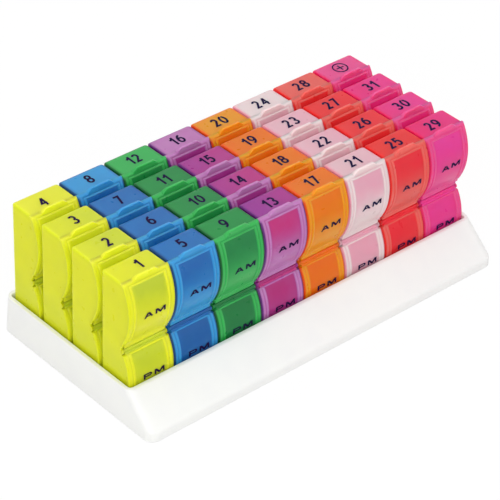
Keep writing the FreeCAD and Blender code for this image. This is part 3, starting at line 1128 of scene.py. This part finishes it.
@dataclass(frozen=True)
class Printing:
    """The plain print: a number on each top, and which half of the day on each lid."""

    cap: float = 6.6  # height of the numbers
    cap_y: float = 4.8  # where their feet stand on the top
    pen: float = 1.1  # width of their strokes
    space: float = 1.0  # between two digits
    # How far some numbers are printed off their place, as (number, x, y).
    shifts: tuple = ((1, 2.2, 0.0), (2, 2.0, -0.3), (3, 1.0, 0.4), (4, -1.2, -1.3),
                     (5, 0.8, 0.0), (6, 1.1, 0.4), (9, -0.9, -0.3), (10, 1.3, -0.3),
                     (13, -0.2, -0.8), (25, -0.3, -0.6), (29, -0.7, -0.6))
    ring: Point = (4.1, 3.4)  # outer and inner radius of the spare box's mark
    plus: Point = (0.35, 2.2)  # half the plus's stroke and half its width
    day_scale: float = 1.08  # size of the wide capitals against their outlines
    day_x: float = 1.3  # where the middle of the two letters stands
    morning_z: float = 49.8  # height of their feet on the morning lid
    evening_z: float = 16.3  # the same on the evening lid
    lift: float = 0.08  # how far the print stands proud
    film: float = 0.04  # its thickness
    layer: float = 0.004  # between strokes that cross
    mark_lift: float = 0.005  # how far the spare box's mark stands off the top
    window: float = 0.12  # how far the window lies behind the lid's outer face

    def stroke(self, line: Line) -> list[list[Point]]:
        """Widen a stroke's middle line to the pen's width.

        Args:
            line: The middle line in millimetres, closed if its ends meet.

        Returns:
            The outline, and a closed stroke's hole.
        """
        is_ring = math.dist(line[0], line[-1]) < 0.01
        spots = [Vector(point) for point in (line[:-1] if is_ring else line)]
        count, sides = len(spots), ([], [])
        for index, spot in enumerate(spots):
            before, after = spots[index - 1], spots[(index + 1) % count]
            ways = []
            if is_ring or index:
                ways.append((spot - before).normalized())
            if is_ring or index < count - 1:
                ways.append((after - spot).normalized())
            along = (ways[0] + ways[-1]).normalized()
            across = Vector((-along.y, along.x)) / max(along.dot(ways[0]), 0.45)
            for side, outline in zip((0.5, -0.5), sides):
                outline.append(tuple(spot + across * self.pen * side))
        if is_ring:
            return sorted(sides, key=lambda loop: -max(x for x, _ in loop))
        return [sides[0] + sides[1][::-1]]

    def number(self, number: int, top: float) -> Mesh:
        """Print a number on the box's top.

        Args:
            number: The number.
            top: Height of the box's top.

        Returns:
            The mesh. A digit's crossing strokes lie a hair above each other.
        """
        plates, start, half_pen = [], 0.0, self.pen / 2
        for digit in str(number):
            strokes, ratio = DIGITS[digit]
            width = ratio * self.cap - self.pen
            for layer, line in enumerate(strokes, 1):
                spots = [(start + half_pen + x * width, half_pen + y * (self.cap - self.pen))
                         for x, y in line]
                low = top + self.layer * layer
                plates.append(plate(self.stroke(spots), low, low + self.film))
            start += width + self.pen + self.space
        mesh = joined(plates)
        off = {shifted: (x, y) for shifted, x, y in self.shifts}.get(number, (0.0, 0.0))
        middle = off[0] - (start - self.space) / 2
        mesh.transform(Matrix.Translation((middle, self.cap_y + off[1], 0.0)))
        return mesh

    def spare_mark(self, top: float) -> Mesh:
        """Print the plain ring with a plus inside that marks the spare box.

        Args:
            top: Height of the box's top.

        Returns:
            The mesh.
        """
        (outer, inner), (half, arm) = self.ring, self.plus
        turns = [math.tau * step / 40 for step in range(40)]
        ring = loft([[(radius * math.cos(turn), radius * math.sin(turn), z) for turn in turns]
                     for radius, z in ((outer, 0.0), (outer, self.film), (inner, self.film),
                                       (inner, 0.0))], is_ring=True)
        quarter = [(arm, half), (half, half), (half, arm)]
        outline = [*quarter, *((-x, y) for x, y in reversed(quarter)),
                   *((-x, -y) for x, y in quarter), *((x, -y) for x, y in reversed(quarter))]
        made = joined([ring, plate([outline], 0.0, self.film)])
        spot = (0.0, self.cap_y + self.cap / 2, top + self.mark_lift)
        made.transform(Matrix.Translation(spot))
        return made

    def on_lid(self, text: str, bulge: Bulge, foot: float) -> Mesh:
        """Print letters on a lid's window, bent to its arc.

        Args:
            text: The letters.
            bulge: The lid's arc.
            foot: Height of the letters' feet.

        Returns:
            The mesh.
        """
        plates, start = [], 0.0
        for letter in text:
            loops, step = CAPITALS[letter]
            plates.append(plate([[(start + x, y) for x, y in loop] for loop in loops],
                                0.0, self.film))
            start += step
        mesh = joined(plates)
        for vertex in mesh.vertices:
            x, up, out = vertex.co
            z = foot + up * self.day_scale
            inset = self.window - self.lift - out
            vertex.co = ((x - start / 2) * self.day_scale + self.day_x,
                         bulge.y(inset, (z - bulge.hinge) * bulge.way), z)
        return tidy(mesh, 1e-4)


@dataclass(frozen=True)
class Tray:
    """The tray: a shallow pocket behind a sloping front."""

    width: float = 215.2  # along X at the foot
    draft: float = 0.8  # how far each side leans in
    height: float = 19.5
    front: Point = (-54.1, -38.1)  # depth of the front's foot and of its rim
    toe: float = 4.8  # height of the front's upright toe
    crease: float = 1.0  # half the height over which the toe turns into the slope
    back: float = 54.1
    corner: float = 5.0
    rim: float = 0.5  # radius of the rim's edges
    foot_edge: tuple = ((0.0, 0.35), (0.15, 0.1), (0.5, 0.0))  # as (height, inset)
    pocket_width: float = 209.2
    pocket_y: Point = (-35.9, 51.1)
    pocket_corner: float = 1.6
    floor: float = 2.3
    floor_rim: float = 0.8  # radius between the pocket's walls and its floor
    wall: float = 2.2
    ribs: int = 3  # under the front
    rib: float = 1.6

    def ring(self, half: float, front: float, back: float, radius: float,
             z: float) -> list[Spot]:
        """Return a level outline with round corners.

        Args:
            half: Half its width.
            front: Depth of its front.
            back: Depth of its back.
            radius: Radius of its corners.
            z: Its height.

        Returns:
            The points.
        """
        points, steps = [], 8
        for turn, x, y in ((0, half, back), (1, -half, back), (2, -half, front),
                           (3, half, front)):
            centre_x, centre_y = x - math.copysign(radius, x), y - math.copysign(radius, y)
            for step in range(steps + 1):
                angle = math.pi / 2 * (turn + step / steps)
                points.append((centre_x + radius * math.cos(angle),
                               centre_y + radius * math.sin(angle), z))
        return points

    def outside(self, z: float, inset: float) -> list[Spot]:
        """Return the outer outline at a height, moved in by inset."""
        lean = self.draft * z / self.height
        return self.ring(self.width / 2 - lean - inset, self.front_y(z) + inset,
                         self.back - lean - inset, self.corner - inset, z)

    def inside(self, z: float, inset: float) -> list[Spot]:
        """Return the pocket's outline at a height, made larger by inset."""
        return self.ring(self.pocket_width / 2 + inset, self.pocket_y[0] - inset,
                         self.pocket_y[1] + inset, self.pocket_corner + inset, z)

    def front_y(self, z: float) -> float:
        """Work out the front's depth: upright at the toe, then sloping back.

        Args:
            z: The height.

        Returns:
            The depth there.
        """
        past = z - self.toe
        if abs(past) < self.crease:
            past = (past + self.crease) ** 2 / (4 * self.crease)
        return self.front[0] + self.slope() * max(past, 0.0)

    def slope(self) -> float:
        """Return how far the front goes back for each millimetre up."""
        return (self.front[1] - self.front[0]) / (self.height - self.toe)

    def shell(self) -> Mesh:
        """Build the tray without the hollow under its front.

        Returns:
            The mesh.
        """
        quarter = [math.pi / 2 * step / 4 for step in range(5)]
        turns = [(1 - math.sin(angle), 1 - math.cos(angle)) for angle in quarter]
        return loft([
            *(self.outside(z, inset) for z, inset in self.foot_edge),
            *(self.outside(self.toe + self.crease * (step / 3 - 1), 0.0) for step in range(7)),
            *(self.outside(self.height - self.rim * a, self.rim * b) for a, b in turns),
            *(self.inside(self.height - self.rim * b, self.rim * a) for a, b in turns),
            *(self.inside(self.floor + self.floor_rim * a, -self.floor_rim * b)
              for a, b in turns),
        ])

    def mesh(self, bars: NodeTree) -> Mesh:
        """Build the tray.

        Args:
            bars: The tree of a row of bars, for the ribs under the front.

        Returns:
            The mesh in millimetres.
        """
        back, ahead = self.pocket_y[0] - self.wall, self.front[0] + self.wall
        run, slope = back - ahead, self.slope()
        toe_top = self.toe + (self.wall - self.wall * math.hypot(1.0, slope)) / slope
        top = toe_top + run / slope
        inner, below = self.width - 2 * self.draft - 2 * self.wall, -3.0
        hollow = prism([(back, below), (ahead, below), (ahead, toe_top), (back, top)], inner)
        pitch = inner / (self.ribs + 1)
        # The ribs' bars reach past the hollow that they are cut from.
        ribs = grown(bars, Count=self.ribs, Pitch_X=pitch, Pitch_Z=0.0,
                     Start_X=-pitch * (self.ribs - 1) / 2, Start_Y=back - run / 2,
                     Start_Z=top / 2 - 1.5, Size_X=self.rib, Size_Y=run + 4.0, Size_Z=top + 5.0)
        cells = combine(hollow, [ribs], "DIFFERENCE")
        return tidy(combine(self.shell(), [cells], "DIFFERENCE"), 1e-3)


@dataclass(frozen=True)
class Studio:
    """The camera, the floor and the light."""

    place: Spot = (-0.6107, -0.6555, 0.6734)  # the camera's, in metres
    # Its azimuth, with 0 looking along Y, elevation and roll in degrees.
    angles: Spot = (-42.81, 35.84, 2.47)
    lens: float = 169.8  # its focal length in millimetres on a 36 mm sensor
    aim: Spot = (0.0, 0.0, 0.03)  # where the lamps point
    # The lamps: name, place and size in metres, and power in watts.
    lamps: tuple = (("key", (-1.05, -0.84, 0.92), 0.9, 10.0),
                    ("side", (0.6, -1.2, 0.9), 0.8, 2.8),
                    ("top", (0.1, 0.5, 1.5), 0.9, 4.8))
    ambient: float = 0.62  # strength of the even light on the object
    paper: float = 0.86  # the floor's grey
    paper_glow: float = 1.02  # strength of the white that the camera sees on it
    paper_share: float = 0.9  # how much of that white hides the shadow
    half_floor: float = 3.0  # in metres

    def camera(self) -> None:
        """Set the camera up at the photograph's viewing angle."""
        turn, tilt, roll = (math.radians(value) for value in self.angles)
        back = Vector((math.sin(turn) * math.cos(tilt), -math.cos(turn) * math.cos(tilt),
                       math.sin(tilt)))
        right = Vector((0, 0, 1)).cross(back).normalized()
        up = back.cross(right)
        level, lean = math.cos(roll), math.sin(roll)
        pose = Matrix((level * right + lean * up, -lean * right + level * up, back))
        lens = bpy.data.cameras.new("camera")
        lens.lens, lens.sensor_width, lens.sensor_fit = self.lens, 36.0, "HORIZONTAL"
        lens.clip_start, lens.clip_end = 0.05, 20.0
        made = add_piece("camera", lens)
        made.matrix_world = Matrix.Translation(self.place) @ pose.transposed().to_4x4()
        bpy.context.scene.camera = made

    def floor(self) -> None:
        """Lay the white floor, which shows the object's shadow only faintly."""
        side = self.half_floor
        made = add_piece("floor", solid(
            [(-side, -side, 0), (side, -side, 0), (side, side, 0), (-side, side, 0)],
            [(0, 1, 2, 3)]))
        paper = bpy.data.materials.new("floor_white")
        paper.use_nodes = True
        wires, nodes = Wiring(paper.node_tree), paper.node_tree.nodes
        matt = nodes["Principled BSDF"]
        wires.feed(matt, {"Base Color": (self.paper, self.paper, self.paper, 1.0),
                          "Roughness": 0.9, "Specular IOR Level": 0.0})
        lit = wires.node("ShaderNodeEmission", {"Strength": self.paper_glow})
        seen = wires.math("MULTIPLY", self.seen(wires), self.paper_share)
        mixed = wires.node("ShaderNodeMixShader", (seen, matt.outputs[0], lit.outputs[0]))
        wires.feed(nodes["Material Output"], {"Surface": mixed.outputs[0]})
        made.data.materials.append(paper)

    def seen(self, wires: Wiring) -> Socket:
        """Tell the rays that show the background from those that light the object.

        Args:
            wires: The material's or the world's wiring.

        Returns:
            1 for camera, glossy and transmission rays.
        """
        path = wires.node("ShaderNodeLightPath").outputs
        glossy = wires.math("MAXIMUM", path["Is Glossy Ray"], path["Is Transmission Ray"])
        return wires.math("MAXIMUM", path["Is Camera Ray"], glossy)

    def world(self) -> None:
        """Surround the object with even light that the camera sees as white."""
        world = bpy.context.scene.world = bpy.data.worlds.new("studio")
        world.use_nodes = True
        wires = Wiring(world.node_tree)
        strength = wires.math("MULTIPLY_ADD", self.seen(wires), 1.0 - self.ambient, self.ambient)
        wires.feed(world.node_tree.nodes["Background"], {
            "Color": (1.0, 1.0, 1.0, 1.0), "Strength": strength})

    def light(self) -> None:
        """Hang the soft lamps: a wide one over the front left, a weak one right, one above."""
        for name, spot, size, power in self.lamps:
            lamp = bpy.data.lights.new(name, "AREA")
            lamp.energy, lamp.size = power, size
            made = add_piece(name, lamp)
            made.location = spot
            away = Vector(spot) - Vector(self.aim)
            made.rotation_euler = away.to_track_quat("Z", "Y").to_euler()

    def build(self) -> None:
        """Set the whole studio up."""
        for part in (self.camera, self.floor, self.world, self.light):
            part()
        bpy.context.scene.view_settings.view_transform = "Standard"


class Organizer:
    """The whole organizer: tray, boxes, lids and print."""

    # The morning lids' lip over the waist, as (y, height) points, and the spare box's number.
    LIP = ((0.0, 0.3), (0.0, -0.9), (0.08, -1.7), (0.3, -2.05), (1.1, -2.05), (1.5, 0.0))
    SPARE = 32

    def __init__(self) -> None:
        """Make the shared meshes and the materials."""
        self.layout, self.body, self.printing = Layout(), BoxBody(), Printing()
        self.tints = [tint.material() for tint in TINTS]
        self.ink, self.white = INK.material(), TRAY_WHITE.material()
        self.bars, self.cups = bar_row(self.white), self.body.meshes()
        # The rear rows' morning lids get a less deep window: painted light.
        self.front_am, self.rear_am, self.pm = (lid.mesh(self.bars, self.tints[0]) for lid in (
            Lid(MORNING, lip=self.LIP), Lid(MORNING, lip=self.LIP, deepest=0.35),
            Lid(EVENING, clearest=0.5, milky=0.1, shadow=0.2)))
        self.am_word = self.printing.on_lid("AM", MORNING, self.printing.morning_z)
        self.pm_word = self.printing.on_lid("PM", EVENING, self.printing.evening_z)

    def build(self) -> None:
        """Build every piece."""
        place("tray_shell", Tray().mesh(self.bars), Vector(), self.white, "tray", "tray_white",
              "tray")
        for column in range(self.layout.columns):
            for row in range(self.layout.rows):
                self.box(column, row)

    def box(self, column: int, row: int) -> None:
        """Build one box with its lids and print. A rear box is one CAD node with its lids.

        Args:
            column: The box's column, 0 on the left.
            row: Its row, 0 in front.
        """
        number = column * self.layout.rows + row + 1
        box, is_rear, slot = f"box_{number:02d}", row > 0, TINTS[column].name
        hinged = box if is_rear else f"{box}_am_lid"
        top = self.body.height
        label = (self.printing.spare_mark(top) if number == self.SPARE
                 else self.printing.number(number, top))
        marks = {hinged: [self.am_word]}
        marks[box] = [label, *marks.get(box, []), self.pm_word]
        for name, form, part, body, part_slot in (
            ("cup", self.cups[row], "body", box, slot),
            ("lid_am", self.rear_am if is_rear else self.front_am, "am_lid", hinged,
             f"{slot}_lid"),
            ("lid_pm", self.pm, "pm_lid", box, f"{slot}_lid"),
        ):
            place(f"{name}_{number:02d}", form, self.layout.spot(column, row),
                  self.tints[column], body, part_slot, box if is_rear else f"{box}_{part}")
        for body, meshes in marks.items():
            name = "print" if body == box else "print_am"
            place(f"{name}_{number:02d}", joined(meshes), self.layout.spot(column, row), self.ink,
                  body, "print_ink")


def write_sizes() -> None:
    """Update the scene's view layer."""
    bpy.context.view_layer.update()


def main() -> None:
    """Build the organizer and its studio."""
    logging.basicConfig(level=logging.INFO, format="%(name)s %(message)s")
    Organizer().build()
    Studio().build()
    write_sizes()


if __name__ == "__main__":
    main()
